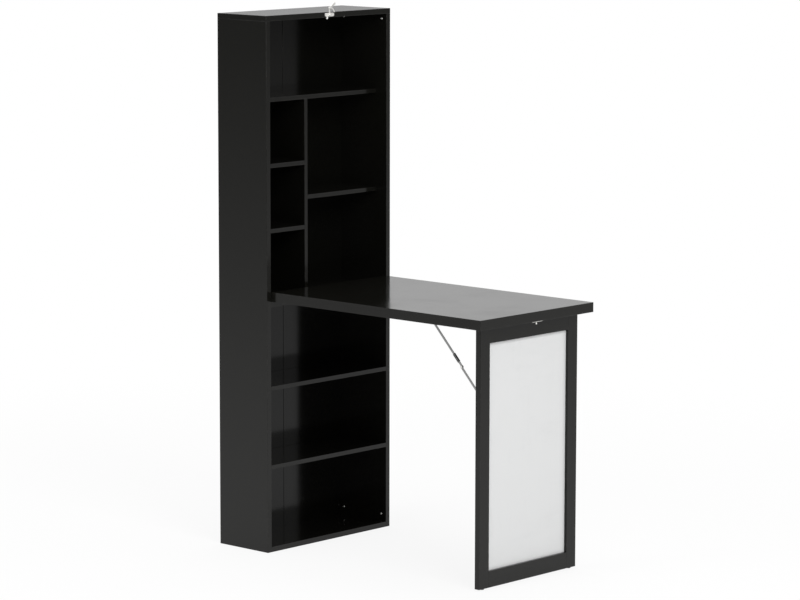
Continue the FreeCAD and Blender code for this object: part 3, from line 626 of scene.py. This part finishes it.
def screw_pattern(name, crown, below, half, reach, depth, around=20):
    """A screw from its crown down to its tip, its cross recess half wide, reach long and depth deep."""
    shape = bmesh.new()
    rings = rings_of(shape, crown + below, around)
    top = crown[0][1]
    outline = [(half, reach), (half, half), (reach, half), (reach, -half), (half, -half), (half, -reach),
               (-half, -reach), (-half, -half), (-reach, -half), (-reach, half), (-half, half),
               (-half, reach)]
    rim = [shape.verts.new((x, y, top)) for x, y in outline]
    sunk = [shape.verts.new((x * cross_taper, y * cross_taper, top - depth)) for x, y in outline]
    rim_edges = [shape.edges.new((rim[i - 1], rim[i])) for i in range(len(rim))]
    ring_edges = [shape.edges.get((rings[0][i - 1], rings[0][i])) for i in range(around)]
    bmesh.ops.triangle_fill(shape, use_beauty=True, edges=rim_edges + ring_edges)
    for index in range(len(rim)):
        shape.faces.new((rim[index - 1], rim[index], sunk[index], sunk[index - 1]))
    shape.faces.new(sunk)
    return pattern_piece(name, shape)


fixing_tree = bpy.data.node_groups.new("fixings_in_place", "GeometryNodeTree")
for socket_name, socket_kind in (("Places", "NodeSocketGeometry"), ("Pattern", "NodeSocketObject"),
                                 ("Size", "NodeSocketFloat"), ("Turn Spread", "NodeSocketFloat"),
                                 ("Seed", "NodeSocketInt"), ("Finish", "NodeSocketMaterial")):
    fixing_tree.interface.new_socket(name=socket_name, in_out="INPUT", socket_type=socket_kind)
fixing_tree.interface.new_socket(name="Fixings", in_out="OUTPUT", socket_type="NodeSocketGeometry")
fixing_in = put_node(fixing_tree, "NodeGroupInput").outputs
fixing_outward = put_node(fixing_tree, "GeometryNodeInputNamedAttribute", {"Name": "outward"},
                          data_type="FLOAT_VECTOR")
fixing_facing = put_node(fixing_tree, "FunctionNodeAlignRotationToVector",
                         {"Vector": fixing_outward.outputs[0]}, axis="Z")
fixing_draw = put_node(fixing_tree, "FunctionNodeRandomValue", {8: fixing_in["Seed"]}, data_type="FLOAT")
fixing_share = figure(fixing_tree, "MULTIPLY", fixing_draw.outputs[1], fixing_in["Turn Spread"])
fixing_angle = figure(fixing_tree, "MULTIPLY", fixing_share, 2 * math.pi)
fixing_turn = put_node(fixing_tree, "FunctionNodeAxisAngleToRotation",
                       {"Axis": (0.0, 0.0, 1.0), "Angle": fixing_angle})
fixing_way = put_node(fixing_tree, "FunctionNodeRotateRotation",
                      {0: fixing_facing.outputs[0], 1: fixing_turn.outputs[0]}, rotation_space="LOCAL")
fixing_pattern = put_node(fixing_tree, "GeometryNodeObjectInfo", {"Object": fixing_in["Pattern"]})
fixing_set = put_node(fixing_tree, "GeometryNodeInstanceOnPoints",
                      {"Points": fixing_in["Places"], "Instance": fixing_pattern.outputs["Geometry"],
                       "Rotation": fixing_way.outputs[0], "Scale": fixing_in["Size"]})
fixing_real = put_node(fixing_tree, "GeometryNodeRealizeInstances", {0: fixing_set.outputs[0]})
fixing_finish = put_node(fixing_tree, "GeometryNodeSetMaterial",
                         {"Geometry": fixing_real.outputs[0], "Material": fixing_in["Finish"]})
put_node(fixing_tree, "NodeGroupOutput", {0: fixing_finish.outputs[0]})


def box_of(points):
    """The lowest and highest corner of some points."""
    low = [min(point[axis] for point in points) for axis in range(3)]
    high = [max(point[axis] for point in points) for axis in range(3)]
    return low, high


def loose_parts(node):
    """Each separate solid of a CAD node as a list of its points."""
    shape = merged_copy(node)
    parts = []
    waiting = set(shape.verts)
    while waiting:
        found = [waiting.pop()]
        for vert in found:
            for edge in vert.link_edges:
                other = edge.other_vert(vert)
                if other in waiting:
                    waiting.remove(other)
                    found.append(other)
        parts.append([vert.co.copy() for vert in found])
    shape.free()
    parts.sort(key=lambda points: tuple(round(value, 5) for value in box_of(points)[0]))
    return parts


def head_place(points, axis):
    """The middle of a turned part's wider end, and the way that end faces."""
    low, high = box_of(points)
    middle = [(low[i] + high[i]) / 2 for i in range(3)]
    reach = (high[axis] - low[axis]) * head_end_share
    widths = []
    for end in (low[axis], high[axis]):
        near = [point for point in points if abs(point[axis] - end) < reach]
        widths.append(max(max(abs(point[i] - middle[i]) for i in range(3) if i != axis) for point in near))
    at_high = widths[1] > widths[0]
    middle[axis] = high[axis] if at_high else low[axis]
    outward = [0.0, 0.0, 0.0]
    outward[axis] = 1.0 if at_high else -1.0
    return middle, outward


def fixings(name, node, body, pattern, finish, seed, axis=None):
    """Sets a pattern in the place of each solid of a CAD node, its head where the solid's is."""
    places, ways = [], []
    for points in loose_parts(node):
        low, high = box_of(points)
        along = axis if axis is not None else max(range(3), key=lambda i: high[i] - low[i])
        middle, outward = head_place(points, along)
        places.append(middle)
        ways.append(outward)
    mesh = bpy.data.meshes.new(name + "_places")
    mesh.from_pydata(places, [], [])
    layer = mesh.attributes.new("outward", "FLOAT_VECTOR", "POINT")
    for index, outward in enumerate(ways):
        layer.data[index].vector = outward
    marks = link_new(name + "_places", mesh)
    setting = marks.modifiers.new("fixings", "NODES")
    setting.node_group = fixing_tree
    values = {"Pattern": pattern, "Size": 1.0, "Turn Spread": 1.0, "Seed": seed, "Finish": finish}
    for item in fixing_tree.interface.items_tree:
        if item.in_out == "INPUT" and item.name in values:
            setting[item.identifier] = values[item.name]
    made = link_new(name, finished_mesh(marks, name))
    dress(made, body, node)


bright_nickel = metal("bright_nickel", colour=(0.93, 0.92, 0.89, 1.0), roughness=0.36,
                      brushing=(1.0, 1.0, 0.3), streaks=700.0)
hinge_steel = metal("hinge_steel", colour=(0.6, 0.6, 0.59, 1.0), roughness=0.26,
                    brushing=(0.1, 1.0, 1.0), streaks=900.0)

flat_crown = in_mm((2.0, 0.0))
flat_head = in_mm((2.2, -0.12), (2.15, -0.25), (1.2, -1.25))
flat_thread = thread(radius=1.05 * MM, top=-2.0 * MM, bottom=-9.0 * MM, pitch=1.0 * MM, depth=0.25 * MM)
flat_tip = in_mm((0.75, -9.6), (0.3, -10.6), (0.0, -11.0))
flat_screw = screw_pattern("flat_screw_pattern", flat_crown, flat_head + flat_thread + flat_tip,
                           half=0.24 * MM, reach=1.25 * MM, depth=0.7 * MM)
domed_crown = in_mm((1.9, -0.06))
domed_head = in_mm((2.6, -0.3), (3.15, -0.68), (3.4, -1.1), (3.35, -1.3), (1.8, -1.3))
domed_thread = thread(radius=1.5 * MM, top=-2.2 * MM, bottom=-9.2 * MM, pitch=1.4 * MM, depth=0.3 * MM)
domed_tip = in_mm((1.1, -9.8), (0.0, -10.3))
domed_screw = screw_pattern("domed_screw_pattern", domed_crown, domed_head + domed_thread + domed_tip,
                            half=0.32 * MM, reach=1.5 * MM, depth=0.8 * MM)
fixings("side_panel_screws", "panel_screws", "cabinet", domed_screw, bright_nickel, seed=11)
fixings("latch_plate_screws", "latch_screws", "cabinet", flat_screw, bright_nickel, seed=12)
fixings("keeper_plate_screws", "keeper_screws", "desk", flat_screw, bright_nickel, seed=13)
hinge_screws = (("desk_hinge_board_screws", "cabinet"), ("desk_hinge_desk_screws", "desk"),
                ("leg_hinge_desk_screws", "desk"), ("leg_hinge_leg_screws", "leg"))
for seed, (node, body) in enumerate(hinge_screws, 21):
    fixings(node.replace("screws", "cross_screws"), node, body, flat_screw, hinge_steel, seed)

# Dowels. Fluted beech pins with chamfered ends, glued across every joint of the bookcase's
# boards and of the leg's frame.
beech_light = (0.6, 0.42, 0.26, 1.0)
beech_dark = (0.47, 0.3, 0.17, 1.0)
beech, beech_tree = new_material("beech")
beech_place = object_place(beech_tree)
beech_grain = noise(beech_tree, stretched(beech_tree, beech_place, (0.15, 1.0, 1.0)), scale=900.0, detail=4.0)
beech_fleck = noise(beech_tree, stretched(beech_tree, beech_place, (0.3, 1.0, 1.0)), scale=3000.0, detail=1.0)
beech_tone = blend_colour(beech_tree, ramp_value(beech_tree, beech_grain, low=0.35, high=0.65), beech_light,
                          beech_dark)
beech_rough = ramp_value(beech_tree, beech_fleck, low=0.3, high=0.7, out_low=0.5, out_high=0.7)
beech_shader = put_node(beech_tree, "ShaderNodeBsdfPrincipled",
                        {"Base Color": beech_tone, "Roughness": beech_rough})
finish_material(beech_tree, beech_shader, beech_grain, strength=0.2, distance=0.2 * MM)
dowel_profile = in_mm((2.4, 0.0), (3.0, -0.9), (3.0, -23.1), (2.4, -24.0))
fluted_dowel = turned_pattern("fluted_dowel_pattern", dowel_profile, around=48, flute=0.22 * MM, flutes=16)
fixings("bookcase_dowels", "carcass_dowels", "cabinet", fluted_dowel, beech, seed=31)
fixings("leg_joint_dowels", "leg_frame_dowels", "leg", fluted_dowel, beech, seed=32)

# Hinges. Butt hinges of brushed steel with five knuckles: pressed leaves let their knuckles
# curl about a turned pin, three hinges on the desktop and two on the leg.
desk_pin_length = 70.0
leg_pin_length = 60.0
for node, body in (("desk_hinge_board_leaves", "cabinet"), ("desk_hinge_desk_leaves", "desk"),
                   ("leg_hinge_desk_leaves", "desk"), ("leg_hinge_leg_leaves", "leg")):
    softened(node.replace("leaves", "pressed_leaves"), node, body, hinge_steel,
             width=0.15 * MM)
for node, body, length in (("desk_hinge_pins", "cabinet", desk_pin_length),
                           ("leg_hinge_pins", "desk", leg_pin_length)):
    pin_profile = in_mm((0.0, 0.0), (0.7, 0.0), (1.0, -0.3), (1.0, 0.3 - length), (0.7, -length),
                        (0.0, -length))
    hinge_pin = turned_pattern(node + "_pattern", pin_profile, around=20)
    fixings(node.replace("pins", "turned_pins"), node, body, hinge_pin, hinge_steel, seed=41)
    bpy.data.objects.remove(hinge_pin)

# Stays. Two thin flat steel arms at each side of the leg, riveted at the knee and to angle
# brackets under the desktop and on the stile. A ribbed black sleeve slides down to lock the knee.
knee_head_reach = 0.78 * MM
stay_steel = metal("stay_steel", colour=(0.36, 0.36, 0.36, 1.0), roughness=0.3, brushing=(1.0, 0.4, 0.4),
                   streaks=1200.0)
black_plastic, plastic_tree = new_material("black_plastic")
plastic = used_surface(plastic_tree, {"Colour": (0.012, 0.012, 0.012, 1.0), "Roughness": 0.36,
                                      "Smudge": 0.1, "Smudge Scale": 60.0, "Dust": 0.008, "Edge Wear": 0.4})
plastic_grain = noise(plastic_tree, object_place(plastic_tree), scale=2600.0)
plastic_shader = put_node(plastic_tree, "ShaderNodeBsdfPrincipled",
                          {"Base Color": plastic["Colour"], "Roughness": plastic["Roughness"]})
finish_material(plastic_tree, plastic_shader, plastic_grain, strength=0.2, distance=0.2 * MM)
for hand in ("left", "right"):
    softened(hand + "_upper_arm_bar", hand + "_upper_stay_arm", hand + "_upper_arm", stay_steel,
             width=0.3 * MM)
    lower_bar = softened(hand + "_lower_arm_bar", hand + "_lower_stay_arm", hand + "_lower_arm",
                         stay_steel, width=0.3 * MM)
    lower_bar.data.materials.append(bright_nickel)
    bar_low, bar_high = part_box(hand + "_lower_stay_arm")
    head_x = bar_low[0] if hand == "left" else bar_high[0]
    for face in lower_bar.data.polygons:
        if abs(face.center.x - head_x) < knee_head_reach:
            face.material_index = 1
    softened(hand + "_knee_rivet", hand + "_knee_pin", hand + "_upper_arm", bright_nickel,
             width=0.25 * MM)
    softened(hand + "_ribbed_sleeve", hand + "_lock_sleeve", hand + "_sleeve", black_plastic,
             width=0.1 * MM, segments=1)
softened("desk_angle_brackets", "stay_desk_brackets", "desk", stay_steel, width=0.25 * MM)
softened("leg_angle_brackets", "stay_leg_brackets", "leg", stay_steel, width=0.25 * MM)
fixings("desk_bracket_screws", "stay_desk_bracket_screws", "desk", flat_screw, stay_steel,
        seed=51)
fixings("leg_bracket_screws", "stay_leg_bracket_screws", "leg", flat_screw, stay_steel, seed=52)
rivet_head = in_mm((0.0, 0.0), (1.2, -0.08), (2.1, -0.35), (2.6, -0.7), (2.6, -0.8))
rivet_shank = in_mm((1.2, -0.8), (1.2, -4.0))
rivet_foot = in_mm((2.6, -4.0), (2.6, -4.1), (2.1, -4.45), (1.2, -4.72), (0.0, -4.8))
stay_rivet = turned_pattern("stay_rivet_pattern", rivet_head + rivet_shank + rivet_foot)
fixings("desk_stay_rivets", "stay_desk_rivets", "desk", stay_rivet, stay_steel, seed=53, axis=0)
fixings("leg_stay_rivets", "stay_leg_rivets", "leg", stay_rivet, stay_steel, seed=54, axis=0)

# Glides. Two nailed feet of black plastic, knocked into the ends of the leg's stiles, keep
# them off the floor.
glide_foot = in_mm((0.0, 0.0), (3.6, 0.0), (5.2, -0.3), (6.0, -1.1), (6.0, -2.9), (5.9, -3.0))
glide_nail = in_mm((1.3, -3.0), (1.3, -10.5), (0.4, -12.0), (0.0, -12.0))
foot_glide = turned_pattern("foot_glide_pattern", glide_foot + glide_nail, around=32)
fixings("foot_glides", "leg_glides", "leg", foot_glide, black_plastic, seed=61, axis=2)


# Keeper. A bright plate under the desktop's far end with a ball stud that the latch catches
# when the desktop is folded up.
def ball_profile(radius, last_turn, steps):
    """A ball's outline from its far end round to the turn, in degrees, where its neck begins."""
    points = []
    for step in range(steps + 1):
        turn = math.radians(last_turn * step / steps)
        points.append((radius * math.sin(turn), -radius * (1 - math.cos(turn))))
    return points


softened("keeper_strip", "keeper_plate", "desk", bright_nickel, width=0.3 * MM)
stud_ball = ball_profile(radius=2.5 * MM, last_turn=148.6, steps=10)
stud_neck = in_mm((1.3, -5.0), (1.3, -8.8))
stud_thread = thread(radius=1.1 * MM, top=-9.4 * MM, bottom=-18.4 * MM, pitch=1.0 * MM, depth=0.2 * MM)
stud_tip = in_mm((0.8, -19.0), (0.0, -19.8))
ball_stud = turned_pattern("ball_stud_pattern", stud_ball + stud_neck + stud_thread + stud_tip)
fixings("keeper_stud", "keeper_ball_stud", "desk", ball_stud, bright_nickel, seed=71, axis=2)

# Latch. A pressed hook of bright nickel swings on a domed rivet in front of its plate, with a
# thumb lever above and a pale ball knob on its tail.
softened("latch_plate", "latch_base_plate", "cabinet", bright_nickel, width=0.3 * MM)
softened("latch_swing_hook", "latch_hook", "latch", bright_nickel, width=0.35 * MM,
         segments=3)
pivot_low, pivot_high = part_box("latch_pivot_rivet")
pivot_length = pivot_high[1] - pivot_low[1]
pivot_radius = 1.6 * MM
pivot_head = in_mm((0.0, 0.0), (1.5, -0.12), (2.5, -0.45), (3.1, -0.95), (3.2, -1.3), (1.6, -1.3))
latch_rivet = turned_pattern("latch_rivet_pattern",
                             pivot_head + [(pivot_radius, -pivot_length), (0.0, -pivot_length)], around=32)
fixings("latch_rivet", "latch_pivot_rivet", "cabinet", latch_rivet, bright_nickel, seed=81,
        axis=1)
pale_knob, knob_tree = new_material("pale_knob")
knob = used_surface(knob_tree, {"Colour": (0.8, 0.8, 0.78, 1.0), "Roughness": 0.14, "Smudge": 0.1,
                                "Smudge Scale": 300.0, "Dust": 0.01, "Edge Wear": 0.0})
knob_peel = noise(knob_tree, object_place(knob_tree), scale=900.0)
knob_shader = put_node(knob_tree, "ShaderNodeBsdfPrincipled",
                       {"Base Color": knob["Colour"], "Roughness": knob["Roughness"]})
finish_material(knob_tree, knob_shader, knob_peel, strength=0.05, distance=0.1 * MM)
knob_ball = ball_profile(radius=3.0 * MM, last_turn=143.1, steps=12)
knob_neck = in_mm((0.9, -5.4), (0.9, -6.9), (0.0, -6.9))
ball_knob = turned_pattern("ball_knob_pattern", knob_ball + knob_neck, around=32)
fixings("latch_knob", "latch_ball_knob", "latch", ball_knob, pale_knob, seed=82, axis=1)

for pattern in (flat_screw, domed_screw, fluted_dowel, stay_rivet, foot_glide, ball_stud, latch_rivet,
                ball_knob):
    bpy.data.objects.remove(pattern)
